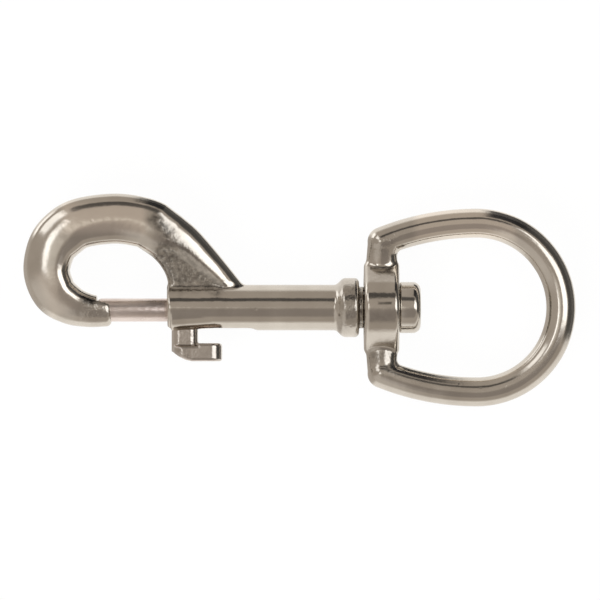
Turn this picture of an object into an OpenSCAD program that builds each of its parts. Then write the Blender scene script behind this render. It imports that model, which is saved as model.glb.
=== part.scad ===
// Swivel snap hook with a sliding spring bolt and a round-ended swivel eye, in millimetres.
// It lies on its back: the barrel runs along X, the hook rises to +Y, and the front faces +Z.
// The pieces are drawn with the barrel mouth at x = 0 and the barrel axis at y = 0, z = 0.

/* [Hook] */
// Length of the hook from the barrel mouth to its far end
hook_length = 26.3; // [24:0.1:29]
// Height of the hook's top above the barrel axis
hook_rise = 20.8; // [19:0.1:23]
// Width of the hook's bar at the top, seen from the front
bar_width = 9.2; // [8:0.1:10]
// Depth of the same bar, front to back
bar_depth = 7.4; // [6:0.1:8.4]
// Thickness of the flat web between the bar, the opening and the barrel
web_thickness = 4.2; // [3:0.1:5]

/* [Barrel] */
// Outer diameter of the barrel
barrel_d = 8.3; // [8:0.1:9]
// Length of the barrel from its mouth to the collar
barrel_length = 31.1; // [30:0.1:36]
// Outer diameter of the collar behind the barrel
collar_d = 10.8; // [9.6:0.1:12]
// Length of the collar
collar_length = 3.7; // [3:0.1:5]
// Diameter of the short neck that the eye turns against
neck_d = 7.6; // [6.4:0.1:8.4]
// Length of the neck
neck_length = 0.8; // [0.5:0.1:1.5]

/* [Bolt] */
// Diameter of the sliding bolt
bolt_d = 4.2; // [3.8:0.1:4.4]
// Free space between the bolt and its bore, on the radius
bolt_clearance = 0.08; // [0.04:0.01:0.1]
// How far the bolt reaches out of the barrel mouth
bolt_reach = 12.8; // [12.2:0.1:13.4]
// Length of the bolt's thick part inside the barrel
bolt_tail = 14.5; // [12:0.1:15]
// Distance between the bolt's axis and the barrel's, towards the thumb slot
bolt_drop = 0.45; // [0:0.05:0.6]
// How far the bolt draws back
bolt_travel = 10.5; // [8:0.1:10.5]

/* [Thumb knob] */
// Length of the knob's stem along the barrel
stem_length = 4.8; // [4:0.1:5.2]
// Width of the knob's stem, across the slot
stem_width = 3; // [2.4:0.1:3.2]
// Free space on each side of the stem in its slot
slot_clearance = 0.12; // [0.08:0.02:0.3]
// Length of the knob's head along the barrel
head_length = 9.3; // [8:0.1:10]
// Width of the knob's head, front to back
head_width = 6.4; // [5:0.1:8]

/* [Spring] */
// Diameter of the spring wire
wire_d = 0.5; // [0.4:0.05:0.55]
// Number of turns
turns = 8; // [6:1:9]

/* [Swivel pin] */
// Diameter of the pin's shank
pin_d = 5; // [4.6:0.1:5.4]
// Diameter of the pin's head
pin_head_d = 9.3; // [8:0.1:10]
// Length of the pin's head
pin_head_length = 3.8; // [2.5:0.1:4.5]

/* [Eye] */
// Diameter of the eye's round bar
eye_bar_d = 5.3; // [4.6:0.1:5.6]
// Inner height of the eye, for a strap of this width
eye_height = 25.4; // [24:0.1:30]
// Depth of the hub that turns on the pin, front to back
hub_depth = 13.1; // [12.4:0.1:14]
// Height of the same hub, from cheek to cheek
hub_height = 16.6; // [15:0.1:18]
// Width of the hub along the pin
hub_width = 6.4; // [6:0.1:8]
// Free space between the pin and the hub's bore, on the radius
pin_clearance = 0.06; // [0.03:0.01:0.1]
// Free space on each side of the hub along the pin
hub_side_clearance = 0.1; // [0.05:0.05:0.3]

/* [Hidden] */
$fn = 96;

// Stations along the hook's bar, from the barrel round to the nose:
// x as a share of hook_length, y of hook_rise, width of bar_width and depth of bar_depth, how far the
// crest lies from the middle of the bar towards the opening, as a share of half the width, and how full
// the sides of the section are, where 2 is an ellipse and 4 is a shallow dome with small rounded rims
stations = [
    [0.52, 0.1, 0.28, 0.5, 0.3, 2.4], [0.43, 0.22, 0.36, 0.62, 0.4, 2.4],
    [0.289, 0.4, 0.48, 0.72, 0.45, 2.4], [0.147, 0.563, 0.62, 0.84, 0.45, 2.8],
    [0.04, 0.637, 0.8, 0.94, 0.35, 3.4], [-0.0665, 0.6875, 1, 1, 0.15, 4],
    [-0.173, 0.745, 1, 1, 0, 4], [-0.365, 0.778, 1, 1, 0, 4],
    [-0.597, 0.74, 1, 1, 0.1, 4], [-0.722, 0.648, 1.01, 1, 0.25, 4],
    [-0.803, 0.52, 0.97, 1, 0.35, 3.6], [-0.837, 0.317, 0.925, 0.98, 0.4, 3],
    [-0.783, 0.13, 0.89, 0.94, 0.4, 2.6], [-0.675, 0.024, 0.785, 0.87, 0.35, 2.4],
    [-0.555, -0.024, 0.675, 0.8, 0.3, 2.4], [-0.445, -0.035, 0.61, 0.74, 0.2, 2.4],
    [-0.398, -0.037, 0.57, 0.71, 0.1, 2.4], [-0.386, -0.037, 0.48, 0.6, 0, 2.4]
];
station_steps = 4;   // rings of the bar from one station to the next
bar_sides = 28;      // points round one ring of the bar

// Edge of the web beside the opening, from the barrel up to the bar:
// x as a share of hook_length and y of hook_rise
web_edge = [[0, 0.173], [0, 0.231], [-0.019, 0.303], [-0.057, 0.38], [-0.103, 0.442], [-0.152, 0.517]];

// Front of the knob's head, from the stem round the lip to the underside:
// x as a share of head_length, y as a share of the way from the head's top to its underside
lip = [[0.054, 0.138], [0, 0.373], [0.054, 0.526], [0.15, 0.725], [0.27, 0.908], [0.39, 1]];

bore_r = bolt_d / 2 + bolt_clearance;
seat_r = bolt_d / 2 + 0.12;
seat_x = -bolt_reach - 0.06;
seat_length = 4.8;
stem_x = 0.7;
slot_width = stem_width + 2 * slot_clearance;
slot_end = stem_x + stem_length + bolt_travel + slot_clearance;
edge_r = 0.8;
mouth_r = 0.4;
fillet_r = 0.9;
collar_edge_r = 1.3;
lip_drop = 0.65;
lip_length = 10;
pin_x = barrel_length - 1.6;
collar_x = barrel_length + collar_length;
neck_x = collar_x + neck_length;
hub_x = neck_x + hub_side_clearance;
pin_head_x = hub_x + hub_width + hub_side_clearance;
hub_mid = hub_x + hub_width / 2;
spigot_length = 2.5;
spring_r = bore_r - wire_d / 2 - 0.2;
spigot_r = spring_r - wire_d / 2 - 0.15;
spring_x = bolt_tail + wire_d / 2;
spring_length = pin_x - wire_d / 2 - spring_x;
wire_sides = 6;
turn_steps = 14;
head_x = stem_x + 0.05;
head_top = 6.48;
head_bottom = 9.75;
head_corner_r = 2.2;
stem_end = 7.5;
tenon_r = 1.1;
tenon_top = 1.5;
pin_edge_r = 1.4;
rim_r = 0.9;
rim_steps = 5;
hub_sides = 48;
hub_end_r = 1.8;
hub_end_y = hub_height / 2 - hub_end_r;
hub_flank = asin((hub_depth / 2 - hub_end_r) / hub_end_y);
cheek_y = 4.6;

eye_r = (eye_height + eye_bar_d) / 2;
eye_x = 56.2;
shoulder_r = 3 * eye_r;
corner_x = hub_mid + 0.1;
shoulder_angle = asin((eye_x - corner_x) / shoulder_r);
corner_y = eye_r - shoulder_r * (1 - cos(shoulder_angle));

bar_rings = smooth(stations, station_steps);
bar_x = [for (i = [0:len(bar_rings) - 1]) for (p = ring(i)) p[0]];
bar_y = [for (i = [0:len(bar_rings) - 1]) for (p = ring(i)) p[1]];
left = min(bar_x);
right = eye_x + eye_r + eye_bar_d / 2;
top = max(bar_y);
bottom = -eye_r - eye_bar_d / 2;
rest = [-(left + right) / 2, -(top + bottom) / 2, hub_depth / 2];

// A smooth curve through the middle points of a run of four, at the share t of its length
function between(a, b, c, d, t) =
    b + (c - a) * t / 2 + (2 * a - 5 * b + 4 * c - d) * t * t / 2 + (3 * b - a - 3 * c + d) * t * t * t / 2;
// The whole list of points smoothed, with a number of steps from each point to the next
function smooth(points, steps) = let (last = len(points) - 1) concat(
    [for (i = [0:last - 1]) for (k = [0:steps - 1])
        between(points[max(i - 1, 0)], points[i], points[i + 1], points[min(i + 2, last)], k / steps)],
    [points[last]]);
// A power that keeps the sign, for the full sides of the bar's section
function signed_power(v, p) = sign(v) * pow(abs(v), p);
// The middle of a ring of the bar
function middle(i) = [bar_rings[i][0] * hook_length, bar_rings[i][1] * hook_rise];
// The direction across the bar at a ring, in the plane of the hook
function across(i) = let (
    last = len(bar_rings) - 1,
    along = middle(min(i + 1, last)) - middle(max(i - 1, 0))
) [along[1], -along[0]] / norm(along);
// One ring of the bar: an oval with full sides and with its crest moved towards the opening
function ring(i) = [for (k = [0:bar_sides - 1]) let (
    angle = 360 * k / bar_sides,
    half = bar_rings[i][2] * bar_width / 2,
    even = half * cos(angle),
    u = even - bar_rings[i][4] * (half - abs(even)),
    v = signed_power(sin(angle), 2 / bar_rings[i][5]) * bar_rings[i][3] * bar_depth / 2
) [middle(i)[0] + across(i)[0] * u, middle(i)[1] + across(i)[1] * u, v]];
// The faces of a tube with closed ends, made of a number of rings with equal sides
function tube_faces(count, sides) = concat(
    [for (a = [0:sides:(count - 2) * sides]) for (k = [0:sides - 1]) let (n = (k + 1) % sides)
        [a + k, a + n, a + sides + n]],
    [for (a = [0:sides:(count - 2) * sides]) for (k = [0:sides - 1]) let (n = (k + 1) % sides)
        [a + k, a + sides + n, a + sides + k]],
    [[for (k = [sides - 1:-1:0]) k]],
    [[for (k = [0:sides - 1]) (count - 1) * sides + k]]);
// Points of an arc
function arc(x, y, r, from, to, steps = 6) = [for (k = [0:steps]) let (a = from + (to - from) * k / steps)
    [x + r * cos(a), y + r * sin(a)]];

// A solid turned about the X axis, from points given as [x, radius]
module turned(points) {
    rotate([90, 0, 90])
        rotate_extrude()
            polygon([for (p = points) [p[1], p[0]]]);
}

// A cylinder along X, from one x to another
module rod(r, from, to, y = 0) {
    translate([from, y, 0])
        rotate([0, 90, 0])
            cylinder(r = r, h = to - from);
}

// The bar of the hook, from inside the barrel round to the nose
module hook_bar() {
    polyhedron(
        [for (i = [0:len(bar_rings) - 1]) for (p = ring(i)) p],
        tube_faces(len(bar_rings), bar_sides));
}

// The flat web that fills the corner between the bar and the barrel
module web() {
    translate([0, 0, -web_thickness / 2])
        linear_extrude(web_thickness)
            polygon(concat(
                [for (p = smooth(web_edge, station_steps)) [p[0] * hook_length, p[1] * hook_rise]],
                [middle(16), middle(12), middle(8), middle(4), [middle(4)[0], 0], [0, 0]]));
}

// The barrel, its collar and its neck, turned in one
module barrel() {
    r = barrel_d / 2;
    collar_r = collar_d / 2;
    turned(concat(
        [[0, 0]],
        arc(mouth_r, r - mouth_r, mouth_r, 180, 90),
        arc(barrel_length - fillet_r, r + fillet_r, fillet_r, 270, 360),
        arc(barrel_length + collar_edge_r, collar_r - collar_edge_r, collar_edge_r, 180, 90),
        arc(collar_x - edge_r, collar_r - edge_r, edge_r, 90, 0),
        [[collar_x, neck_d / 2], [neck_x, neck_d / 2], [neck_x, 0]]));
}

// The thicker underside of the barrel beside the slot: the same barrel, tipped down at its mouth
module mouth_lip() {
    translate([mouth_r, -lip_drop, 0])
        rotate([0, 0, asin(lip_drop / lip_length)])
            rod(barrel_d / 2 - 0.1, 0, lip_length);
}

// The slot for the thumb knob's stem, open at the barrel mouth
module thumb_slot() {
    round_x = slot_end - slot_width / 2;
    translate([-1, -barrel_d, -slot_width / 2])
        cube([round_x + 1, barrel_d - bolt_drop, slot_width]);
    translate([round_x, -bolt_drop, 0])
        rotate([90, 0, 0])
            cylinder(d = slot_width, h = barrel_d);
}

// The seat in the nose, open towards the opening, that the bolt's tip closes into
module nose_seat() {
    rod(seat_r, seat_x, seat_x + seat_length, -bolt_drop);
    translate([seat_x, -bolt_drop, -seat_r])
        cube([seat_length, barrel_d, 2 * seat_r]);
}

// The cast body: hook, web, barrel and collar in one piece
module hook_body() {
    color("silver")
        difference() {
            union() {
                hook_bar();
                web();
                barrel();
                mouth_lip();
            }
            rod(bore_r, -1, pin_x + 0.1, -bolt_drop);
            rod(pin_d / 2, pin_x, neck_x + 1);
            thumb_slot();
            nose_seat();
        }
}

// The sliding bolt, with a spigot for the spring at its tail and a cross hole for the knob
module bolt() {
    r = bolt_d / 2;
    color("gainsboro")
        difference() {
            translate([0, -bolt_drop, 0])
                turned(concat(
                    [[-bolt_reach, 0]],
                    arc(-bolt_reach + edge_r, r - edge_r, edge_r, 180, 90),
                    [[bolt_tail, r], [bolt_tail, spigot_r], [bolt_tail + spigot_length, spigot_r],
                        [bolt_tail + spigot_length, 0]]));
            translate([stem_x + stem_length / 2, 0, 0])
                rotate([90, 0, 0])
                    cylinder(r = tenon_r, h = barrel_d, center = true);
        }
}

// The side view of the knob's head, with its thin front lip to the left
module head_side() {
    end = head_x + head_length;
    height = head_bottom - head_top;
    polygon(concat(
        [for (p = lip) [head_x + p[0] * head_length, -head_top - p[1] * height]],
        arc(end - mouth_r, -head_bottom + mouth_r, mouth_r, 270, 360, 4),
        arc(end - edge_r, -head_top - edge_r, edge_r, 0, 90, 4),
        [[stem_x + stem_length, -head_top], [stem_x + stem_length, -head_top - lip[0][1] * height]]));
}

// The knob's head seen from below, a rectangle with round corners
module head_plan() {
    flat = head_corner_r;
    w = head_width / 2;
    translate([head_x, -w + flat])
        square([head_length, head_width - 2 * flat]);
    translate([head_x + flat, -w])
        square([head_length - 2 * flat, head_width]);
    for (x = [flat, head_length - flat], z = [flat - w, w - flat])
        translate([head_x + x, z])
            circle(r = flat);
}

// The thumb knob: a lipped head, an oblong stem in the slot and a tenon riveted into the bolt
module thumb_knob() {
    stem_r = stem_width / 2;
    color("lightgray") {
        difference() {
            union() {
                translate([stem_x + stem_r, -stem_end, -stem_r])
                    cube([stem_length - stem_width, stem_end - bolt_drop, stem_width]);
                for (x = [stem_x + stem_r, stem_x + stem_length - stem_r])
                    translate([x, -bolt_drop, 0])
                        rotate([90, 0, 0])
                            cylinder(r = stem_r, h = stem_end - bolt_drop);
                intersection() {
                    translate([0, 0, -head_width / 2])
                        linear_extrude(head_width)
                            head_side();
                    translate([0, 1 - head_top, 0])
                        rotate([90, 0, 0])
                            linear_extrude(head_bottom - head_top + 2)
                                head_plan();
                }
            }
            rod(bolt_d / 2, -1, head_x + head_length, -bolt_drop);
        }
        translate([stem_x + stem_length / 2, tenon_top, 0])
            rotate([90, 0, 0])
                cylinder(r = tenon_r, h = tenon_top + bolt_drop + bolt_d / 2 + 1);
    }
}

// The coil spring between the bolt's tail and the swivel pin
module bolt_spring() {
    count = turns * turn_steps;
    wire_r = wire_d / 2;
    rings = [for (i = [0:count]) let (
        turn = 360 * i / turn_steps,
        x = spring_x + spring_length * i / count
    ) [for (k = [0:wire_sides - 1]) let (a = 360 * k / wire_sides, r = spring_r + wire_r * cos(a))
        [x + wire_r * sin(a), -bolt_drop + r * cos(turn), r * sin(turn)]]];
    color("darkgray")
        polyhedron([for (r = rings) for (p = r) p], tube_faces(count + 1, wire_sides));
}

// The headed pin that is pressed into the barrel's end and carries the eye
module swivel_pin() {
    r = pin_d / 2;
    head_r = pin_head_d / 2;
    end = pin_head_x + pin_head_length;
    color("gainsboro")
        turned(concat(
            [[pin_x, 0], [pin_x, r], [pin_head_x, r]],
            arc(pin_head_x + 0.3, head_r - 0.3, 0.3, 180, 90, 3),
            arc(end - pin_edge_r, head_r - pin_edge_r, pin_edge_r, 90, 0),
            [[end, 0]]));
}

// The eye's hub: a thick disc with a small round end towards each cheek and straight flanks between,
// and with rounded rims. The steep points of its outline lie on the small ends.
module hub() {
    rims = concat(
        arc(hub_x + rim_r, -rim_r, rim_r, 180, 90, rim_steps),
        arc(hub_x + hub_width - rim_r, -rim_r, rim_r, 90, 0, rim_steps));
    points = [for (rim = rims) for (k = [0:hub_sides - 1]) let (
        angle = 360 * k / hub_sides,
        small = abs(sin(angle)) > sin(hub_flank),
        r = (small ? hub_end_r : hub_depth / 2) + rim[1]
    ) [rim[0], r * sin(angle) + (small ? sign(sin(angle)) * hub_end_y : 0), r * cos(angle)]];
    polyhedron(points, tube_faces(len(rims), hub_sides));
}

// One half of the eye's bar above the hub: cheek, corner and the long shallow shoulder
module eye_side() {
    translate([hub_mid, cheek_y, 0])
        rotate([-90, 0, 0])
            cylinder(r1 = hub_width / 2 - 0.1, r2 = eye_bar_d / 2 - 0.05, h = corner_y - cheek_y);
    translate([corner_x, corner_y, 0])
        sphere(d = eye_bar_d + 0.1);
    translate([eye_x, eye_r - shoulder_r, 0])
        rotate([0, 0, 90])
            rotate_extrude(angle = shoulder_angle)
                translate([shoulder_r, 0])
                    circle(d = eye_bar_d);
}

// The swivel eye: a round bar bent to a rounded D, with a bored hub
module swivel_eye() {
    color("silver")
        difference() {
            union() {
                hub();
                eye_side();
                mirror([0, 1, 0])
                    eye_side();
                translate([eye_x, 0, 0])
                    rotate([0, 0, -90])
                        rotate_extrude(angle = 180)
                            translate([eye_r, 0])
                                circle(d = eye_bar_d);
            }
            rod(pin_d / 2 + pin_clearance, hub_x - 1, hub_x + hub_width + 1);
        }
}

translate(rest) hook_body();
translate(rest) bolt();
translate(rest) thumb_knob();
translate(rest) bolt_spring();
translate(rest) swivel_pin();
translate(rest) swivel_eye();
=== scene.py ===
"""Dresses the swivel snap hook: smooth castings, turned pieces, bright nickel plate and studio light.

Shapes are worked out in millimetres from the barrel mouth, with the barrel axis at y = 0, z = 0,
and are then moved to the frame's own place in metres.
"""
import math

import bpy
import numpy as np
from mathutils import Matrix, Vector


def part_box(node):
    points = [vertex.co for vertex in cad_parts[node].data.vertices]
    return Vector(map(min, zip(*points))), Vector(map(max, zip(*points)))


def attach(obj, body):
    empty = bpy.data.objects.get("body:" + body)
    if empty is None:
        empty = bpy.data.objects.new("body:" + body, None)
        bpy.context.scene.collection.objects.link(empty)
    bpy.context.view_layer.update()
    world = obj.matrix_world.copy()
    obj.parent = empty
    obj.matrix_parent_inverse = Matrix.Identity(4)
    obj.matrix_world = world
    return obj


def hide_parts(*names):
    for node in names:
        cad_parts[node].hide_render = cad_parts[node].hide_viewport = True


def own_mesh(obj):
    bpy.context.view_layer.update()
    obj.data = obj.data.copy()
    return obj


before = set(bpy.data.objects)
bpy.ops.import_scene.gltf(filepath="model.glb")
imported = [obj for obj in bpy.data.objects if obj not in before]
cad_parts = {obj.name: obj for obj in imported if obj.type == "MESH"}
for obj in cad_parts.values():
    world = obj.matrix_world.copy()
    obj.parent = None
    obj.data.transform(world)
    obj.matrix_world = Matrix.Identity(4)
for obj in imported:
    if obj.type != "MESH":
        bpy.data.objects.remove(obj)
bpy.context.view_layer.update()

# One millimetre in metres
MM = 0.001

# Sizes shared with the part, in millimetres
BARREL_R = 4.15
BARREL_LENGTH = 31.1
COLLAR_R = 5.4
COLLAR_END = 34.8
NECK_R = 3.8
NECK_END = 35.6
BOLT_R = 2.1
BOLT_DROP = 0.45
BOLT_REACH = 12.8
BOLT_TAIL = 14.5
BORE_R = BOLT_R + 0.08
SPIGOT_R = 1.33
SPIGOT_LENGTH = 2.5
SPRING_R = 1.73
WIRE_R = 0.25
TURNS = 8
PIN_R = 2.5
PIN_START = BARREL_LENGTH - 1.6
PIN_HEAD_R = 4.65
PIN_HEAD_LENGTH = 3.8
HUB_R = 6.55
HUB_END_R = 1.8
HUB_END_Y = 6.5
HUB_WIDTH = 6.4
HUB_START = NECK_END + 0.1
HUB_MID = HUB_START + HUB_WIDTH / 2
PIN_HEAD_START = HUB_START + HUB_WIDTH + 0.1
EYE_BAR_R = 2.65
EYE_R = 15.35
EYE_X = 56.2
SHOULDER_R = 3 * EYE_R
# Where the eye's shallow shoulder turns down into the straight cheek
CORNER_X = HUB_MID + 0.1
CORNER_Y = EYE_R - SHOULDER_R + math.sqrt(SHOULDER_R**2 - (EYE_X - CORNER_X) ** 2)
CHEEK_Y = 4.6
WEB_THICKNESS = 4.2
SLOT_R = 1.62
SLOT_END = 16.1
LIP_DROP = 0.65
LIP_LENGTH = 10
STEM_START = 0.7
STEM_LENGTH = 4.8
STEM_R = 1.5
HEAD_START = 0.75
HEAD_LENGTH = 9.3
HEAD_R = 3.2

# The hook's bar at stations from the barrel round to the nose: x, y, width, depth, the place of the
# crest as a share of half the width, towards the opening, and how full the section's sides are
HOOK_SCALE = np.array([26.3, 20.8, 9.2, 7.4, 1, 1])
STATIONS = HOOK_SCALE * np.array([
    [0.52, 0.1, 0.28, 0.5, 0.3, 2.4], [0.43, 0.22, 0.36, 0.62, 0.4, 2.4],
    [0.289, 0.4, 0.48, 0.72, 0.45, 2.4], [0.147, 0.563, 0.62, 0.84, 0.45, 2.8],
    [0.04, 0.637, 0.8, 0.94, 0.35, 3.4], [-0.0665, 0.6875, 1, 1, 0.15, 4],
    [-0.173, 0.745, 1, 1, 0, 4], [-0.365, 0.778, 1, 1, 0, 4],
    [-0.597, 0.74, 1, 1, 0.1, 4], [-0.722, 0.648, 1.01, 1, 0.25, 4],
    [-0.803, 0.52, 0.97, 1, 0.35, 3.6], [-0.837, 0.317, 0.925, 0.98, 0.4, 3],
    [-0.783, 0.13, 0.89, 0.94, 0.4, 2.6], [-0.675, 0.024, 0.785, 0.87, 0.35, 2.4],
    [-0.555, -0.024, 0.675, 0.8, 0.3, 2.4], [-0.445, -0.035, 0.61, 0.74, 0.2, 2.4],
    [-0.386, -0.037, 0.57, 0.7, 0.05, 2.4],
])
# The web's free edge beside the opening, and the side of it that lies inside the bar and barrel
WEB_EDGE = np.array([[0, 3.6], [0, 4.8], [-0.5, 6.3], [-1.5, 7.9], [-2.7, 9.2], [-4.0, 10.75]])
WEB_INSIDE = np.array([[-1.7, 14.2], [3.9, 11.7], [7.6, 8.3], [11.3, 4.6], [11.3, 0], [0, 0]])

# The barrel mouth's place in the frame, worked out from the box of the pin
pin_low, pin_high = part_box("swivel_pin")
ORIGIN = np.array([
    pin_low[0] - PIN_START * MM,
    (pin_low[1] + pin_high[1]) / 2,
    (pin_low[2] + pin_high[2]) / 2,
])


# Shapes


def smooth_line(points, steps):
    """A smooth curve through points: each stretch is the cubic that passes through its two ends and
    whose slope at each end is half the step between that end's two neighbours."""
    padded = np.vstack([points[:1], points, points[-1:]])
    a, b, c, d = padded[:-3, None], padded[1:-2, None], padded[2:-1, None], padded[3:, None]
    t = np.linspace(0, 1, steps, endpoint=False)[None, :, None]
    square, cube = 2 * a - 5 * b + 4 * c - d, 3 * b - a - 3 * c + d
    curve = 0.5 * (2 * b + (c - a) * t + square * t**2 + cube * t**3)
    return np.vstack([curve.reshape(-1, points.shape[1]), points[-1:]])


def meet(a, b, r):
    """The space inside both fields, with its edge rounded to radius r: beyond the distance r from the
    edge it is the larger field, and nearer it is the distance to a circle."""
    corner = np.hypot(np.maximum(a + r, 0), np.maximum(b + r, 0))
    return np.minimum(-r, np.maximum(a, b)) + corner


def join(a, b, r):
    """The space inside either field, with a fillet of radius r where they meet."""
    return -meet(-a, -b, r)


def cut(a, b, r):
    """Field a with field b taken out of it, with the rim rounded to radius r."""
    return meet(a, -b, r)


def drum(x, y, z, start, end, radius, edge, centre_y=0.0):
    """A cylinder along X from start to end: the meeting of its round side and its two flat ends."""
    side = np.hypot(y - centre_y, z) - radius
    ends = np.abs(x - (start + end) / 2) - (end - start) / 2
    return meet(side, ends, edge)


def outline(x, y, points):
    """Distance from the closed outline through points, negative inside: the least distance to its
    sides, with the sign from how often a line to the left of the point crosses them."""
    shape = np.broadcast(x, y).shape
    p = np.stack([np.broadcast_to(x, shape).ravel(), np.broadcast_to(y, shape).ravel()], -1)[:, None]
    start, end = points[None], np.roll(points, -1, 0)[None]
    side = end - start
    share = np.clip(((p - start) * side).sum(-1) / (side**2).sum(-1), 0, 1)
    distance = np.linalg.norm(p - start - share[..., None] * side, axis=-1).min(1)
    spans = (start[..., 1] > p[..., 1]) != (end[..., 1] > p[..., 1])
    rise = np.where(side[..., 1] == 0, 1.0, side[..., 1])
    left = start[..., 0] + (p[..., 1] - start[..., 1]) * side[..., 0] / rise > p[..., 0]
    inside = (spans & left).sum(1) % 2 == 1
    return np.where(inside, -distance, distance).reshape(shape)


BAR_LINE = smooth_line(STATIONS, 24)
BAR_SLOPE = np.gradient(BAR_LINE[:, :2], axis=0)
BAR_ALONG = BAR_SLOPE / np.linalg.norm(BAR_SLOPE, axis=1, keepdims=True)
CHUNK = 4096


def place_on_bar(x, y):
    """How far along the bar's middle line each point is, counted in samples: the nearest sample, moved
    by the point's own distance along the line from it."""
    shape = np.broadcast(x, y).shape
    p = np.stack([np.broadcast_to(x, shape).ravel(), np.broadcast_to(y, shape).ravel()], -1)
    near = np.concatenate([
        ((q[:, None] - BAR_LINE[None, :, :2]) ** 2).sum(-1).argmin(1)
        for q in np.array_split(p, max(1, len(p) // CHUNK))
    ])
    step = np.linalg.norm(BAR_SLOPE[near], axis=1)
    ahead = ((p - BAR_LINE[near, :2]) * BAR_ALONG[near]).sum(1) / step
    return p, np.clip(near + np.clip(ahead, -1, 1), 0, len(BAR_LINE) - 1), shape


def full_oval(u, z, width, depth, n):
    """An oval with full sides, (u / width)^2 + |z / depth|^n = 1: the root of its level less one, over
    the slope of that root."""
    du, dz = np.abs(u) / width, np.abs(z) / depth
    level = np.maximum(np.sqrt(du**2 + dz**n), 0.05)
    slope = np.hypot(du / width, n / 2 * dz ** (n - 1) / depth) / level
    return (level - 1) / np.maximum(slope, 0.5 / depth)


def bar_field(x, y, z):
    """The hook's bar: an oval with full sides carried along the middle line, with its width, its depth,
    the place of its crest and its fullness taken from the stations. The ends are flat and rounded."""
    p, place, shape = place_on_bar(x, y)
    index = np.arange(len(BAR_LINE))
    middle = np.stack([np.interp(place, index, BAR_LINE[:, k]) for k in range(6)], -1)
    along = np.stack([np.interp(place, index, BAR_ALONG[:, k]) for k in range(2)], -1)
    offset = p - middle[:, :2]
    width, depth, crest, fullness = (middle[:, k].reshape(shape) for k in (2, 3, 4, 5))
    outward = (offset[:, 0] * along[:, 1] - offset[:, 1] * along[:, 0]).reshape(shape)
    outward = outward + crest * width / 2
    half = width / 2 * np.where(outward > 0, 1 + crest, 1 - crest)
    side = full_oval(outward, z, half - 0.04, depth / 2, fullness)
    near_tip = place > len(BAR_LINE) * 0.7
    tip = np.where(near_tip, (p - BAR_LINE[-1, :2]) @ BAR_ALONG[-1], -20).reshape(shape)
    root = (-(p - BAR_LINE[0, :2]) @ BAR_ALONG[0]).reshape(shape)
    return meet(meet(side, tip, 0.9), root, 0.3)


def web_field(x, y, z):
    """The flat web: its outline beside the opening, with rounded rims, at a constant thickness."""
    edge = outline(x, y, np.vstack([smooth_line(WEB_EDGE, 8), WEB_INSIDE]))
    return meet(edge, np.abs(z) - WEB_THICKNESS / 2, 1.3)


def slot_field(x, y, z):
    """The thumb slot: a straight channel with a round end, from the mouth back, below the bolt's axis."""
    channel = np.hypot(np.maximum(x - SLOT_END + SLOT_R, 0), z) - SLOT_R
    return np.maximum(np.maximum(channel, -1 - x), y + BOLT_DROP)


def seat_field(x, y, z):
    """The seat in the nose: a round trough for the bolt's tip, open towards the hook's opening."""
    trough = np.where(y > -BOLT_DROP, np.abs(z), np.hypot(y + BOLT_DROP, z)) - BOLT_R - 0.12
    ends = np.maximum(-BOLT_REACH - 0.06 - x, x + 6)
    return np.maximum(np.maximum(trough, y - 6), ends)


def hook_field(x, y, z):
    """The cast body: bar, web, barrel, collar and neck joined with fillets, then bored and slotted. The
    barrel's underside is thicker at the mouth, from a second drum that is tipped down there."""
    barrel = drum(x, y, z, 0, BARREL_LENGTH + 1, BARREL_R, 0.45)
    lean = math.asin(LIP_DROP / LIP_LENGTH)
    along = (x - 0.4) * math.cos(lean) + (y + LIP_DROP) * math.sin(lean)
    aside = (y + LIP_DROP) * math.cos(lean) - (x - 0.4) * math.sin(lean)
    barrel = np.minimum(barrel, drum(along, aside, z, 0, LIP_LENGTH, BARREL_R - 0.1, 0.3))
    collar = meet(np.hypot(y, z) - COLLAR_R, x - COLLAR_END, 0.8)
    collar = meet(collar, BARREL_LENGTH - x, 1.3)
    neck = drum(x, y, z, BARREL_LENGTH, NECK_END, NECK_R, 0.15)
    body = join(bar_field(x, y, z), web_field(x, y, z), 1.0)
    body = join(body, join(barrel, collar, 0.9), 0.5)
    body = join(body, neck, 0.1)
    body = cut(body, drum(x, y, z, -5, PIN_START + 0.2, BORE_R, 0.05, -BOLT_DROP), 0.25)
    body = cut(body, drum(x, y, z, PIN_START, NECK_END + 3, PIN_R + 0.02, 0.05), 0.1)
    body = cut(body, slot_field(x, y, z), 0.25)
    return cut(body, seat_field(x, y, z), 0.2)


def hub_outline(y, z):
    """Distance from the hub's outline: a large circle, a small one towards each cheek, and the straight
    flanks that touch both."""
    up, out = np.abs(y), np.abs(z)
    sine = (HUB_R - HUB_END_R) / HUB_END_Y
    cosine = math.sqrt(1 - sine**2)
    along = cosine * up - sine * out
    flank = cosine * out + sine * up - HUB_R
    large = np.hypot(y, z) - HUB_R
    small = np.hypot(up - HUB_END_Y, z) - HUB_END_R
    return np.where(along < 0, large, np.where(along > cosine * HUB_END_Y, small, flank))


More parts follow.
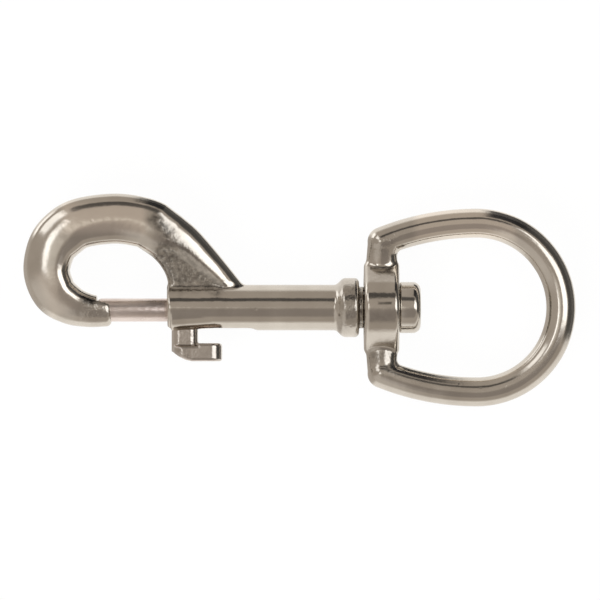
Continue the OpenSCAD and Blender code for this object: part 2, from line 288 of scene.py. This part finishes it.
def eye_field(x, y, z):
    """The swivel eye: the distance to its middle line, which is half a circle and two shallow shoulders,
    joined with fillets to two straight cheeks, flatter towards the hub, and to a thick hub that is
    bored for the pin. The fillet grows from almost nothing at the corner's crest to its full radius
    inside the eye."""
    up = np.abs(y)
    circle = np.abs(np.hypot(x - EYE_X, up) - EYE_R)
    shoulder = np.abs(np.hypot(x - EYE_X, up - EYE_R + SHOULDER_R) - SHOULDER_R)
    corner = np.hypot(x - CORNER_X, up - CORNER_Y)
    past = (x - CORNER_X) * (SHOULDER_R - EYE_R + CORNER_Y) + (up - CORNER_Y) * (EYE_X - CORNER_X) < 0
    line = np.where(x > EYE_X, circle, np.where(past, corner, shoulder))
    ring = np.hypot(line, z) - EYE_BAR_R
    share = np.clip((up - CHEEK_Y) / (CORNER_Y - CHEEK_Y), 0, 1)
    middle = HUB_MID + share * (CORNER_X - HUB_MID)
    reach = np.maximum(up - CORNER_Y, 0)
    flat = 2 - share
    thick = HUB_WIDTH / 2 - 0.1 - share * 0.5
    cheek = np.sqrt((x - middle) ** 2 + (flat * z) ** 2 + reach**2) - thick
    hub = meet(hub_outline(y, z), np.abs(x - HUB_MID) - HUB_WIDTH / 2, 0.9)
    fillet = 0.05 + 0.75 * np.clip((x - CORNER_X - 0.4) / 1.8, 0, 1)
    body = join(join(ring, cheek, fillet), hub, 0.5)
    return cut(body, drum(x, y, z, HUB_START - 5, HUB_MID + 9, PIN_R + 0.06, 0.05), 0.25)


def arc(x, r, radius, start, end, steps=10):
    """Points of an arc about (x, r), in degrees."""
    angle = np.radians(np.linspace(start, end, steps + 1))
    return np.stack([x + radius * np.cos(angle), r + radius * np.sin(angle)], -1)


HEAD_SIDE = np.vstack([
    [[0.5, -6.93], [0.05, -7.6], [0.1, -7.95], [0.6, -8.4], [1.5, -9.0], [2.6, -9.5], [3.7, -9.75]],
    arc(HEAD_LENGTH - 0.5, -9.25, 0.5, 270, 360, 5), arc(HEAD_LENGTH - 0.7, -7.18, 0.7, 0, 90, 5),
    [[4.75, -6.48], [4.75, -6.93]],
]) + [HEAD_START, 0]


def knob_field(x, y, z):
    """The thumb knob: its side outline carried across and met with a plan that has round corners, joined
    to the oblong stem, which is hollowed to fit the bolt, and to the round tenon."""
    side = outline(x, y, HEAD_SIDE)
    half = HEAD_LENGTH / 2
    corner = 2.2
    px = np.maximum(np.abs(x - HEAD_START - half) - half + corner, 0)
    pz = np.maximum(np.abs(z) - HEAD_R + corner, 0)
    plan = np.hypot(px, pz) - corner
    head = meet(side, plan, 0.55)
    stem_half = STEM_LENGTH / 2 - STEM_R
    sx = np.maximum(np.abs(x - STEM_START - STEM_LENGTH / 2) - stem_half, 0)
    stem = np.maximum(np.hypot(sx, z) - STEM_R, np.maximum(y + BOLT_DROP, -8 - y))
    body = join(head, stem, 0.35)
    body = cut(body, np.hypot(y + BOLT_DROP, z) - BOLT_R, 0.1)
    tenon = np.hypot(x - STEM_START - STEM_LENGTH / 2, z) - 1.1
    return join(body, meet(tenon, np.maximum(y - 1.5, -4 - y), 0.1), 0.05)


def slope_of(field, points, reach=0.01):
    """The field's value at points and its slope there, from a short step along each axis."""
    here = field(*points.T)
    ahead = [field(*(points + reach * axis).T) for axis in np.eye(3)]
    return here, np.stack([(a - here) / reach for a in ahead], -1)


def skin(field, low, high, step):
    """The surface where a field is zero. Space is cut into cells of one step. Each cell that the surface
    crosses gets a vertex, the mean of the crossings on its edges, and each grid edge that it crosses
    gets a face between its four cells. The vertices are then moved along the slope to the zero."""
    axes = [np.arange(a, b + step, step) for a, b in zip(low, high)]
    value = field(axes[0][:, None, None], axes[1][None, :, None], axes[2][None, None, :])
    value = np.broadcast_to(value, [len(a) for a in axes])
    inside = value < 0
    cells = [n - 1 for n in value.shape]
    total = np.zeros(cells + [3])
    count = np.zeros(cells)
    for axis in range(3):
        near, far = [slice(None)] * 3, [slice(None)] * 3
        near[axis], far[axis] = slice(0, -1), slice(1, None)
        a, b = value[tuple(near)], value[tuple(far)]
        crossed = inside[tuple(near)] != inside[tuple(far)]
        where = np.where(crossed, a / np.where(crossed, a - b, 1), 0)
        others = [k for k in range(3) if k != axis]
        for first in (0, 1):
            for second in (0, 1):
                pick = [slice(None)] * 3
                pick[others[0]] = slice(first, first + cells[others[0]])
                pick[others[1]] = slice(second, second + cells[others[1]])
                hit = crossed[tuple(pick)]
                count += hit
                total[..., axis] += where[tuple(pick)] * hit
                total[..., others[0]] += first * hit
                total[..., others[1]] += second * hit
    used = count > 0
    number = np.full(cells, -1)
    number[used] = np.arange(used.sum())
    place = np.argwhere(used) + total[used] / count[used][:, None]
    points = np.stack([axes[k][0] + step * place[:, k] for k in range(3)], -1)
    quads = []
    for axis in range(3):
        near, far = [slice(1, -1)] * 3, [slice(1, -1)] * 3
        near[axis], far[axis] = slice(0, -1), slice(1, None)
        a, b = inside[tuple(near)], inside[tuple(far)]
        spots = np.argwhere(a != b)
        leaving = a[a != b]
        one, two = [k for k in ((axis + 1) % 3, (axis + 2) % 3)]
        base = spots.copy()
        base[:, one] += 1
        base[:, two] += 1
        corners = []
        for back_one, back_two in ((1, 1), (0, 1), (0, 0), (1, 0)):
            cell = base.copy()
            cell[:, one] -= back_one
            cell[:, two] -= back_two
            corners.append(number[tuple(cell.T)])
        quad = np.stack(corners, -1)
        quad[~leaving] = quad[~leaving][:, ::-1]
        quads.append(quad)
    for _ in range(3):
        here, slope = slope_of(field, points)
        size = np.maximum((slope**2).sum(-1), 0.05)
        points = points - np.clip(here / size, -step / 2, step / 2)[:, None] * slope
    return points, np.vstack(quads)


def turned(profile, around=128, centre_y=0.0):
    """A solid turned about the X axis: profile holds x and radius, and every point of it goes round in
    a circle. A profile point on the axis becomes one vertex."""
    profile = np.asarray(profile, float)
    angle = np.linspace(0, 2 * math.pi, around, endpoint=False)
    inner = profile[1:-1]
    rings = np.stack([
        np.repeat(inner[:, :1], around, 1),
        centre_y + inner[:, 1:] * np.cos(angle),
        inner[:, 1:] * np.sin(angle),
    ], -1).reshape(-1, 3)
    ends = np.array([[profile[0, 0], centre_y, 0], [profile[-1, 0], centre_y, 0]])
    k = np.arange(around)
    n = (k + 1) % around
    rows = np.arange(len(inner) - 1)[:, None] * around
    quads = np.stack([rows + k, rows + n, rows + n + around, rows + k + around], -1).reshape(-1, 4)
    first, last = len(rings), len(rings) + 1
    final = (len(inner) - 1) * around
    caps = [[first, int(b), int(a)] for a, b in zip(k, n)]
    caps += [[last, final + int(a), final + int(b)] for a, b in zip(k, n)]
    return np.vstack([rings, ends]), quads.tolist() + caps


def coil(start, end, radius, wire, turns, sides=12, steps=40):
    """A coil spring: a circle of the wire's radius carried along a helix about the bolt's axis."""
    along = np.linspace(0, 1, turns * steps + 1)[:, None]
    turn = 2 * math.pi * turns * along
    side = np.linspace(0, 2 * math.pi, sides, endpoint=False)[None]
    out = radius + wire * np.cos(side)
    x = start + (end - start) * along + wire * np.sin(side)
    points = np.stack([x, -BOLT_DROP + out * np.cos(turn), out * np.sin(turn)], -1).reshape(-1, 3)
    k = np.arange(sides)
    n = (k + 1) % sides
    rows = np.arange(turns * steps)[:, None] * sides
    quads = np.stack([rows + k, rows + k + sides, rows + n + sides, rows + n], -1).reshape(-1, 4).tolist()
    last = turns * steps * sides
    return points, quads + [k.tolist(), (last + k[::-1]).tolist()]


def piece(name, shape, node, body, material):
    """Makes a smooth mesh from points in millimetres and faces, in the place of a node of the part."""
    points, faces = shape
    mesh = bpy.data.meshes.new(name)
    mesh.from_pydata((points * MM + ORIGIN).tolist(), [], [list(map(int, f)) for f in faces])
    mesh.validate()
    mesh.shade_smooth()
    mesh.materials.append(material)
    made = bpy.data.objects.new(name, mesh)
    bpy.context.scene.collection.objects.link(made)
    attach(made, body)
    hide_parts(node)
    return made


# Materials


class Graph:
    """Short calls for making shader nodes in a material, world or node group."""

    def __init__(self, tree):
        self.tree = tree

    def put(self, socket, value):
        """Links value to a socket if it is a socket, and sets it if it is a number or a colour."""
        if isinstance(value, bpy.types.NodeSocket):
            self.tree.links.new(value, socket)
        elif value is not None:
            socket.default_value = value

    def node(self, kind, settings=None, **inputs):
        """Adds a node. Settings are its properties, and inputs are named with _ for a space."""
        made = self.tree.nodes.new(kind)
        for key, value in (settings or {}).items():
            setattr(made, key, value)
        for key, value in inputs.items():
            self.put(made.inputs[key.replace("_", " ")], value)
        return made

    def math(self, operation, a, b=0.0, c=0.0):
        made = self.tree.nodes.new("ShaderNodeMath")
        made.operation = operation
        for socket, value in zip(made.inputs, (a, b, c)):
            self.put(socket, value)
        return made.outputs[0]

    def dot(self, a, b):
        made = self.tree.nodes.new("ShaderNodeVectorMath")
        made.operation = "DOT_PRODUCT"
        self.put(made.inputs[0], a)
        self.put(made.inputs[1], b)
        return made.outputs["Value"]

    def ease(self, value, low, high, to_low=0.0, to_high=1.0):
        """A smooth step from to_low at low to to_high at high."""
        made = self.tree.nodes.new("ShaderNodeMapRange")
        made.interpolation_type = "SMOOTHSTEP"
        for socket, given in zip(made.inputs, (value, low, high, to_low, to_high)):
            self.put(socket, given)
        return made.outputs[0]

    def mix(self, share, a, b, blend="MIX"):
        made = self.tree.nodes.new("ShaderNodeMix")
        made.data_type = "RGBA"
        made.blend_type = blend
        self.put(made.inputs["Factor"], share)
        self.put(made.inputs["A"], a)
        self.put(made.inputs["B"], b)
        return made.outputs["Result"]

    def noise(self, where, scale, detail=3.0, roughness=0.5):
        given = {"Vector": where, "Scale": scale, "Detail": detail, "Roughness": roughness}
        return self.node("ShaderNodeTexNoise", **given).outputs["Fac"]


def plate_surface():
    """The group that every plated piece shares. From a place on the piece it gives a tint that varies
    as the plate's thickness does, a roughness that varies with fine polishing marks and handling, and
    a height that holds slow ripples of the casting, orange peel and a few small pits."""
    tree = bpy.data.node_groups.new("plate_surface", "ShaderNodeTree")
    for name, kind, way in (
        ("Place", "NodeSocketVector", "INPUT"), ("Ripple", "NodeSocketFloat", "INPUT"),
        ("Pits", "NodeSocketFloat", "INPUT"), ("Gloss", "NodeSocketFloat", "INPUT"),
        ("Tint", "NodeSocketFloat", "OUTPUT"), ("Roughness", "NodeSocketFloat", "OUTPUT"),
        ("Height", "NodeSocketFloat", "OUTPUT"),
    ):
        tree.interface.new_socket(name=name, in_out=way, socket_type=kind)
    g = Graph(tree)
    given = tree.nodes.new("NodeGroupInput").outputs
    result = tree.nodes.new("NodeGroupOutput")
    place = given["Place"]
    slow = g.noise(place, 180, 2.0)
    peel = g.noise(place, 900, 2.0)
    fine = g.noise(place, 5200, 2.0)
    wide = g.noise(place, 60, 1.0)
    spots = g.node("ShaderNodeTexVoronoi", Vector=place, Scale=420.0)
    pit = g.ease(spots.outputs["Distance"], 0.05, 0.16, 1.0, 0.0)
    chosen = g.ease(g.noise(place, 700, 0.0), 0.56, 0.66)
    pit = g.math("MULTIPLY", g.math("MULTIPLY", pit, chosen), given["Pits"])
    ripple = g.math("MULTIPLY_ADD", slow, 3.0, g.math("MULTIPLY", peel, 0.5))
    height = g.math("MULTIPLY", ripple, given["Ripple"])
    height = g.math("ADD", height, g.math("MULTIPLY", fine, 0.015))
    height = g.math("SUBTRACT", height, g.math("MULTIPLY", pit, 0.8))
    smear = g.ease(wide, 0.35, 0.7, 0.0, 0.06)
    rough = g.math("ADD", g.math("MULTIPLY_ADD", fine, 0.06, given["Gloss"]), smear)
    rough = g.math("ADD", rough, g.math("MULTIPLY", pit, 0.25))
    tint = g.math("SUBTRACT", g.ease(slow, 0.25, 0.75, 0.0, 1.0), g.math("MULTIPLY", pit, 0.5))
    g.put(result.inputs["Tint"], tint)
    g.put(result.inputs["Roughness"], rough)
    g.put(result.inputs["Height"], height)
    return tree


PLATE = plate_surface()


# Dark colour that zones mix in: mostly painted shade in recesses and creases, with some darker grainy
# marks
STAIN_AND_PAINTED_SHADE = (0.05, 0.045, 0.04, 1)
# Pale colour that zones mix in: painted sheen
PAINTED_SHEEN = (0.98, 0.89, 0.79, 1)
BUMP_HEIGHT = 0.04 * MM


def zone_mask(g, place, x, y, length, width, turn):
    """One inside a box about x and y, with a soft edge, from the larger of the two distances past it."""
    mapping = g.node("ShaderNodeMapping", {"vector_type": "TEXTURE"}, Vector=place)
    mapping.inputs["Location"].default_value = np.array([x, y, 0]) * MM + ORIGIN
    mapping.inputs["Rotation"].default_value = (0, 0, math.radians(turn))
    mapping.inputs["Scale"].default_value = (length * MM, width * MM, 1)
    local = g.node("ShaderNodeSeparateXYZ", Vector=mapping.outputs[0]).outputs
    reach_x = g.math("MULTIPLY_ADD", g.math("ABSOLUTE", local["X"]), length, -length)
    reach_y = g.math("MULTIPLY_ADD", g.math("ABSOLUTE", local["Y"]), width, -width)
    soft = min(1.0, 0.9 * width)
    return g.ease(g.math("MAXIMUM", reach_x, reach_y), soft, -soft)


def plated(name, pale, deep, gloss, ripple, pits, zones=()):
    """Bright nickel plate: metal whose colour runs between a pale and a deep tone. Zones are boxes, given
    as centre x and y, half length and half width in millimetres, turn in degrees, and two shares: how
    grainy the casting under the plate is there, and how dark, or below zero how pale. The dark share
    mixes in a dark colour that is mostly painted shade in recesses and creases, and the pale share mixes
    in painted sheen."""
    material = bpy.data.materials.new(name)
    material.use_nodes = True
    g = Graph(material.node_tree)
    shader = material.node_tree.nodes["Principled BSDF"]
    place = g.node("ShaderNodeTexCoord").outputs["Object"]
    given = {"Place": place, "Ripple": ripple, "Pits": pits, "Gloss": gloss}
    surface = g.node("ShaderNodeGroup", {"node_tree": PLATE}, **given)
    colour = g.mix(surface.outputs["Tint"], (*deep, 1), (*pale, 1))
    height = surface.outputs["Height"]
    roughness = surface.outputs["Roughness"]
    if zones:
        grain, dark, bright = 0.0, 0.0, 0.0
        for x, y, length, width, turn, grainy, darker in zones:
            mask = zone_mask(g, place, x, y, length, width, turn)
            grain = g.math("MAXIMUM", grain, g.math("MULTIPLY", mask, grainy))
            if darker > 0:
                dark = g.math("MAXIMUM", dark, g.math("MULTIPLY", mask, darker))
            else:
                bright = g.math("MAXIMUM", bright, g.math("MULTIPLY", mask, -darker))
        rough_cast = g.noise(place, 1300, 3.0, 0.55)
        height = g.math("MULTIPLY_ADD", g.math("MULTIPLY", rough_cast, grain), 2.6, height)
        # Pale zones mix in painted sheen
        colour = g.mix(bright, colour, PAINTED_SHEEN)
        blotch = g.ease(rough_cast, 0.3, 0.7, 1.0, 0.45)
        # Dark zones mix in the dark colour, mostly painted shade in recesses and creases, mottled by the
        # grain
        colour = g.mix(g.math("MULTIPLY", dark, blotch), colour, STAIN_AND_PAINTED_SHADE)
        roughness = g.math("MULTIPLY_ADD", grain, 0.06, roughness)
    bump = g.node("ShaderNodeBump", Strength=1.0, Distance=BUMP_HEIGHT, Height=height)
    g.put(shader.inputs["Base Color"], colour)
    g.put(shader.inputs["Metallic"], 1.0)
    g.put(shader.inputs["Roughness"], roughness)
    g.put(shader.inputs["Normal"], bump.outputs["Normal"])
    return material


# Hook zones: the web and its foot, grainy and darkened with painted shade for the recess; a dark grainy
# patch at the top of the arm; the crease where the web meets the barrel and the line where the arm meets
# the web, darkened with painted shade; the collar, grainy and a little darker; the neck groove, darkened
# with painted shade; the nose, grainy, with a near-black spot; and the top and lower left of the bar,
# made paler with painted sheen
hook_zones = [
    (1.2, 7.6, 4.6, 2.4, -50, 0.8, 0.65),
    (7.0, 4.9, 3.5, 1.3, -35, 0.7, 0.65),
    (-0.9, 14.8, 2.6, 1.1, -48, 0.2, 0.9),
    (4.6, 3.8, 5.6, 0.9, 0, 0.9, 0.45),
    (3.7, 9.7, 4.8, 1.2, -50, 0.5, 0.5),
    (33.0, 0.3, 1.7, 4.6, 0, 0.7, 0.25),
    (35.1, 0, 0.6, 5.0, 0, 0.0, 0.9),
    (-12.8, -0.3, 2.4, 1.5, 0, 1.0, 0.1),
    (-14.3, 1.3, 1.1, 0.7, -20, 0.3, 0.95),
    (-11.5, 16.2, 7.5, 2.6, 0, 0.06, -0.75),
    (-20.0, 3.0, 2.5, 4.0, 20, 0.06, -0.35),
]
# Eye zones: small dark lines and a darker band on the hub, painted shade in the crease at the hub's lower
# end, the cheeks, grainy and a little darker, the whole hub, grainy, and the top of the ring, made paler
# with painted sheen
eye_zones = [
    (39.4, 0.8, 1.2, 0.22, 0, 0.0, 0.85),
    (38.8, 7.2, 2.0, 0.25, 0, 0.0, 0.8),
    (38.8, -1.7, 2.0, 0.8, 0, 0.1, 0.15),
    (38.9, -8.7, 2.6, 1.2, 0, 0.4, 0.4),
    (39.0, 11.0, 2.6, 1.6, 0, 0.8, 0.15),
    (39.0, -11.5, 2.6, 1.2, 0, 0.3, 0.1),
    (38.9, 0, 3.2, 6.4, 0, 0.16, 0.0),
    (54.0, 15.2, 9.0, 2.8, 0, 0.05, -0.6),
]
# The length of the bolt that rubs on rings
bolt_zones = [(-6.5, -0.5, 6.5, 1.5, 0, 0.6, 0.1)]
# Stem, the left end of the head, and the rest of the head
knob_zones = [
    (3.3, -5.0, 2.4, 1.7, 0, 0.55, 0.0),
    (2.2, -8.0, 1.8, 1.1, 0, 0.5, 0.15),
    (7.2, -8.2, 3.0, 1.4, 0, 0.2, 0.1),
]
cast_tones = (0.70, 0.655, 0.59), (0.61, 0.565, 0.505)
turned_tones = (0.70, 0.66, 0.60), (0.62, 0.58, 0.52)
rubbed_tones = (0.88, 0.78, 0.73), (0.72, 0.62, 0.58)
knob_tones = (0.71, 0.66, 0.61), (0.62, 0.57, 0.52)
steel_tones = (0.42, 0.41, 0.40), (0.33, 0.32, 0.31)
cast_hook = plated("cast_nickel_hook", *cast_tones, 0.07, 0.5, 0.35, hook_zones)
cast_eye = plated("cast_nickel_eye", *cast_tones, 0.07, 0.5, 0.35, eye_zones)
turned_nickel = plated("turned_nickel", *turned_tones, 0.09, 0.35, 0.3)
rubbed_nickel = plated("rubbed_nickel", *rubbed_tones, 0.22, 0.6, 0.3, bolt_zones)
cast_knob = plated("cast_nickel_knob", *knob_tones, 0.12, 0.6, 0.35, knob_zones)
spring_steel = plated("spring_steel", *steel_tones, 0.22, 0.3, 0.1)


# Pieces

CAST_CELL = 0.23
KNOB_CELL = 0.13

hook_skin = skin(hook_field, (-27.2, -6.2, -6.2), (36.4, 21.6, 6.2), CAST_CELL)
piece("cast_hook", hook_skin, "hook_body", "body", cast_hook)
eye_skin = skin(eye_field, (34.6, -19.0, -7.4), (75.2, 19.0, 7.4), CAST_CELL)
piece("cast_eye", eye_skin, "swivel_eye", "eye", cast_eye)
knob_skin = skin(knob_field, (0.1, -10.4, -3.8), (10.5, 2.0, 3.8), KNOB_CELL)
piece("lipped_knob", knob_skin, "thumb_knob", "bolt", cast_knob)

bolt_profile = np.vstack([
    [[-BOLT_REACH, 0], [-BOLT_REACH, 0.6]],
    arc(-BOLT_REACH + 0.8, BOLT_R - 0.8, 0.8, 180, 90),
    [[BOLT_TAIL - 0.1, BOLT_R], [BOLT_TAIL, BOLT_R - 0.1], [BOLT_TAIL, SPIGOT_R]],
    [[BOLT_TAIL + SPIGOT_LENGTH, SPIGOT_R], [BOLT_TAIL + SPIGOT_LENGTH, 0]],
])
piece("round_bolt", turned(bolt_profile, 96, -BOLT_DROP), "bolt", "bolt", rubbed_nickel)

head_end = PIN_HEAD_START + PIN_HEAD_LENGTH
pin_profile = np.vstack([
    [[PIN_START, 0], [PIN_START, PIN_R - 0.02]],
    [[PIN_HEAD_START - 0.02, PIN_R - 0.02], [PIN_HEAD_START, PIN_R]],
    arc(PIN_HEAD_START + 0.3, PIN_HEAD_R - 0.3, 0.3, 180, 90, 6),
    arc(head_end - 1.4, PIN_HEAD_R - 1.4, 1.4, 90, 0),
    [[head_end, 0.6], [head_end, 0]],
])
piece("headed_pin", turned(pin_profile), "swivel_pin", "body", turned_nickel)

spring = coil(BOLT_TAIL + WIRE_R, PIN_START - WIRE_R, SPRING_R, WIRE_R, TURNS)
coil_piece = piece("coil_spring", spring, "bolt_spring", "body", spring_steel)
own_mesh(coil_piece)


# Floor, light and camera

PHOTO_PIXELS = 600
PIXEL = 0.182 * MM


def studio_floor():
    """A large pale floor. To the eye it is mostly an even white, and the rest is its own shading, which
    keeps the hook's shadow. The metal sees less of it, and the room's pale lower half for the rest."""
    side = 6.0
    mesh = bpy.data.meshes.new("studio_floor")
    corners = np.array([[-1, -1, 0], [1, -1, 0], [1, 1, 0], [-1, 1, 0]]) * side / 2
    mesh.from_pydata(corners.tolist(), [], [[0, 1, 2, 3]])
    floor = bpy.data.objects.new("studio_floor", mesh)
    bpy.context.scene.collection.objects.link(floor)
    material = bpy.data.materials.new("pale_floor")
    material.use_nodes = True
    g = Graph(material.node_tree)
    shader = material.node_tree.nodes["Principled BSDF"]
    g.put(shader.inputs["Base Color"], (0.84, 0.84, 0.84, 1))
    g.put(shader.inputs["Roughness"], 0.9)
    g.put(shader.inputs["Specular IOR Level"], 0.0)
    glow = g.node("ShaderNodeEmission", Color=(1, 1, 1, 1), Strength=1.04)
    clear = g.node("ShaderNodeBsdfTransparent")
    path = g.node("ShaderNodeLightPath").outputs
    mirrored = g.math("MAXIMUM", path["Is Glossy Ray"], path["Is Transmission Ray"])
    seen = g.node("ShaderNodeMixShader", Fac=g.math("MULTIPLY", path["Is Camera Ray"], 0.92))
    g.put(seen.inputs[1], shader.outputs[0])
    g.put(seen.inputs[2], glow.outputs[0])
    both = g.node("ShaderNodeMixShader", Fac=g.math("MULTIPLY", mirrored, 0.9))
    g.put(both.inputs[1], seen.outputs[0])
    g.put(both.inputs[2], clear.outputs[0])
    g.put(material.node_tree.nodes["Material Output"].inputs["Surface"], both.outputs[0])
    mesh.materials.append(material)


def studio_world():
    """The room that the plate mirrors, painted by direction. Azimuths are in degrees from +X to +Y, and
    tilt is the angle from straight up. The ceiling is a warm grey, the lower half is the white table,
    the side towards +X and +Y is dark, and the bright patches stand for windows and lamps."""
    world = bpy.data.worlds.new("studio_world")
    bpy.context.scene.world = world
    world.use_nodes = True
    g = Graph(world.node_tree)
    towards = g.node("ShaderNodeTexCoord").outputs["Generated"]
    x, y, z = (g.dot(towards, axis) for axis in ((1, 0, 0), (0, 1, 0), (0, 0, 1)))
    tilt = g.math("MULTIPLY", g.math("ARCCOSINE", z), 180 / math.pi)

    def turn_from(degrees):
        """The azimuth's distance from a given one, without a sign."""
        c, s = math.cos(math.radians(degrees)), math.sin(math.radians(degrees))
        along, across = g.dot(towards, (c, s, 0)), g.dot(towards, (-s, c, 0))
        return g.math("ABSOLUTE", g.math("MULTIPLY", g.math("ARCTAN2", across, along), 180 / math.pi))

    def band(value, low, high, soft):
        """One between low and high, with soft edges of the given width."""
        return g.math("MULTIPLY", g.ease(value, low - soft, low), g.ease(value, high + soft, high))

    def window(centre, reach, low, high, soft, side_soft):
        """A patch of the room about an azimuth, between two tilts, with soft edges."""
        across = g.ease(turn_from(centre), reach + side_soft, reach)
        return g.math("MULTIPLY", across, band(tilt, low, high, soft))

    grey = (0.44, 0.395, 0.35, 1)
    dim = (0.295, 0.262, 0.238, 1)
    shade = (0.085, 0.083, 0.08, 1)
    black = (0.03, 0.03, 0.032, 1)
    table = (1.03, 1.0, 0.96, 1)
    light = (1.9, 1.9, 1.9, 1)
    cream = (0.80, 0.76, 0.70, 1)

    def paint(colour, patches):
        """Lays patches over a colour, each one a window, how strongly it shows, and its own colour."""
        for place, strength, tone in patches:
            share = window(*place) if strength == 1 else g.math("MULTIPLY", window(*place), strength)
            colour = g.mix(share, colour, tone)
        return colour

    colour = paint(grey, [
        ((-62, 34, 9, 42, 9.0, 28.0), 1, dim),
        ((228, 22, 32, 80, 15.0, 18.0), 0.3, table),
    ])
    colour = g.mix(g.ease(g.math("MULTIPLY_ADD", y, -8.0, tilt), 77, 101), colour, table)
    colour = paint(colour, [
        ((190, 28, 88, 180, 20.0, 22.0), 0.85, grey),
        ((88, 22, 34, 46, 5.0, 12.0), 0.85, black),
        ((26, 40, 58, 130, 5.0, 10.0), 1, shade),
        ((68, 9, 58, 130, 6.0, 9.0), 1, black),
        ((10, 18, 17, 48, 5.0, 8.0), 1, light),
        ((34, 7, 21, 41, 4.0, 6.0), 1, light),
        ((48, 6, 33, 41, 3.0, 5.0), 1, light),
        ((176, 26, 4, 16, 4.0, 14.0), 0.75, cream),
        ((165, 22, 17, 22, 3.0, 8.0), 1, light),
        ((138, 8, 36, 58, 6.0, 8.0), 0.7, light),
        ((143, 8, 84, 104, 6.0, 10.0), 0.8, light),
    ])
    path = g.node("ShaderNodeLightPath").outputs
    colour = g.mix(path["Is Camera Ray"], colour, (1, 1, 1, 1))
    background = world.node_tree.nodes["Background"]
    g.put(background.inputs["Color"], colour)
    g.put(background.inputs["Strength"], 1.0)


def soft_light(name, place, size, power):
    """A square soft light that looks at the hook."""
    data = bpy.data.lights.new(name, "AREA")
    data.size = size
    data.energy = power
    lamp = bpy.data.objects.new(name, data)
    bpy.context.scene.collection.objects.link(lamp)
    lamp.location = place
    back = np.array(place) / np.linalg.norm(place)
    lamp.rotation_euler = (math.acos(back[2]), 0, math.atan2(back[1], back[0]) + math.pi / 2)
    lamp.visible_glossy = False
    lamp.visible_camera = False


def photo_camera():
    """The camera straight above the hook. The frame is as wide as the photo is at the barrel's height."""
    distance = 0.8
    width = PHOTO_PIXELS * PIXEL
    data = bpy.data.cameras.new("photo_camera")
    data.sensor_width = 36.0
    data.lens = data.sensor_width * distance / width
    data.clip_start = 0.01
    data.clip_end = 20.0
    camera = bpy.data.objects.new("photo_camera", data)
    bpy.context.scene.collection.objects.link(camera)
    camera.location = (0.5 * PIXEL, -0.1 * PIXEL, ORIGIN[2] + distance)
    bpy.context.scene.camera = camera


studio_floor()
studio_world()
soft_light("window_side", (-0.45, -0.6, 0.7), 0.7, 4.0)
photo_camera()
bpy.context.scene.view_settings.view_transform = "Standard"
